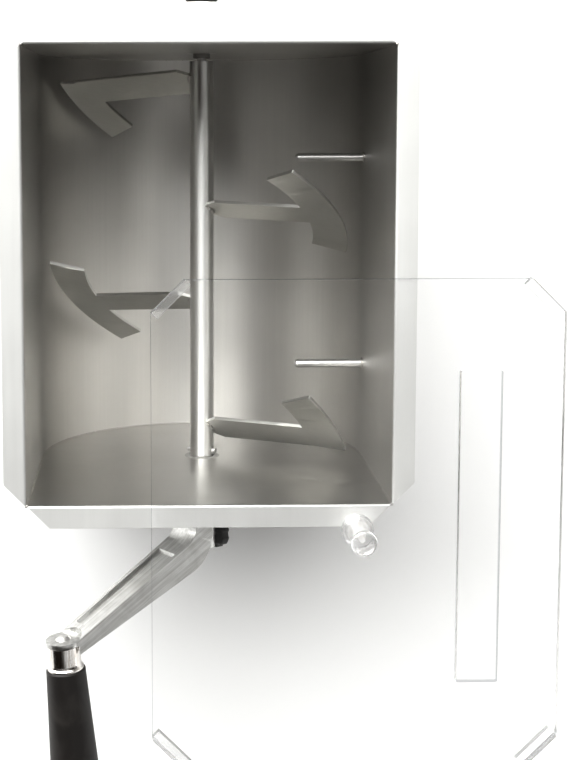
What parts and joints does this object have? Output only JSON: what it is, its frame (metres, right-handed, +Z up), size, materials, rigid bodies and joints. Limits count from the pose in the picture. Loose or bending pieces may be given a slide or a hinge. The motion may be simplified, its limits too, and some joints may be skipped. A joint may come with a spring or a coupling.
{
  "type": "manual meat mixer",
  "caption": "Hand-cranked stainless tub mixer: U-shaped trough with a flanged rim, pitched paddles on a removable shaft, cast crank with a turning grip, loose clear lid.",
  "frame": {"origin": "on the table, at the centre of the four fixing holes through the feet", "axes": "+X across the trough to the side with the fixed rods, +Y along the shaft to the plunger end (the crank is at -Y), +Z up"},
  "size_m": [0.3668, 0.6279, 0.3492],
  "materials": {
    "brushed_sheet": "brushed stainless sheet, satin",
    "stand_sheet": "brushed stainless sheet, satin",
    "paddle_sheet": "cut stainless sheet, satin",
    "shaft_steel": "ground stainless tube",
    "turned_steel": "turned stainless bar",
    "spring_steel": "drawn wire",
    "cast_aluminium": "cast and tumbled aluminium",
    "chrome_plate": "plated collar, bright",
    "black_plastic": "moulded plastic, satin",
    "white_plastic": "machined plastic",
    "foot_rubber": "moulded rubber",
    "clear_sheet": "clear plastic sheet, polished"
  },
  "bodies": {
    "tank": {"trough_shell": "brushed_sheet", "front_end_plate": "brushed_sheet", "rear_end_plate": "brushed_sheet", "front_stand": "stand_sheet", "rear_stand": "stand_sheet", "rubber_feet": "foot_rubber", "rear_baffle_rod": "turned_steel", "front_baffle_rod": "turned_steel", "front_bearing_housing": "turned_steel", "front_bearing_bush": "white_plastic", "front_shaft_seal": "foot_rubber", "rear_hex_housing": "turned_steel", "rear_housing_cap": "turned_steel", "rear_inner_washer": "black_plastic"},
    "rotor": {"shaft_tube": "shaft_steel", "shaft_rear_plug": "turned_steel", "paddle_1": "paddle_sheet", "paddle_2": "paddle_sheet", "paddle_3": "paddle_sheet", "paddle_4": "paddle_sheet", "drive_stub": "turned_steel", "drive_cross_pin": "turned_steel", "retaining_ring": "spring_steel", "crank_arm": "cast_aluminium", "grip_spindle": "turned_steel"},
    "clamp_screw": {"crank_clamp_screw": "turned_steel", "clamp_screw_knob": "black_plastic"},
    "grip": {"grip_ferrule": "chrome_plate", "grip_handle": "black_plastic"},
    "plunger": {"plunger_pin": "turned_steel", "plunger_knob": "black_plastic", "plunger_spring": "spring_steel"},
    "lid": {"lid_plate": "clear_sheet", "lid_corner_bars": "clear_sheet", "lid_knob": "clear_sheet", "lid_knob_screw": "turned_steel"}
  },
  "joints": [
    {"name": "shaft_turn", "type": "hinge", "parent": "tank", "child": "rotor", "pos_m": [0, 0, 0.16], "axis": [0, 1, 0], "continuous": true},
    {"name": "grip_turn", "type": "hinge", "parent": "rotor", "child": "grip", "pos_m": [-0.10197, -0.268, 0.22878], "axis": [0.0723, -0.9962, -0.0487], "continuous": true},
    {"name": "clamp_screw_turn", "type": "hinge", "parent": "rotor", "child": "clamp_screw", "pos_m": [0.01202, -0.2115, 0.15189], "axis": [0.829, 0, -0.5592], "range_deg": [0, 540]},
    {"name": "plunger_pull", "type": "slide", "parent": "tank", "child": "plunger", "axis": [0, 1, 0], "range_m": [0, 0.01], "stiffness_N_per_m": 800, "springref_m": -0.008, "deforming": ["plunger_spring"]},
    {"name": "lid_slide", "type": "slide", "parent": "tank", "child": "lid", "axis": [-0.5048, 0.862, 0.0469], "range_m": [0, 0.19177]}
  ]
}
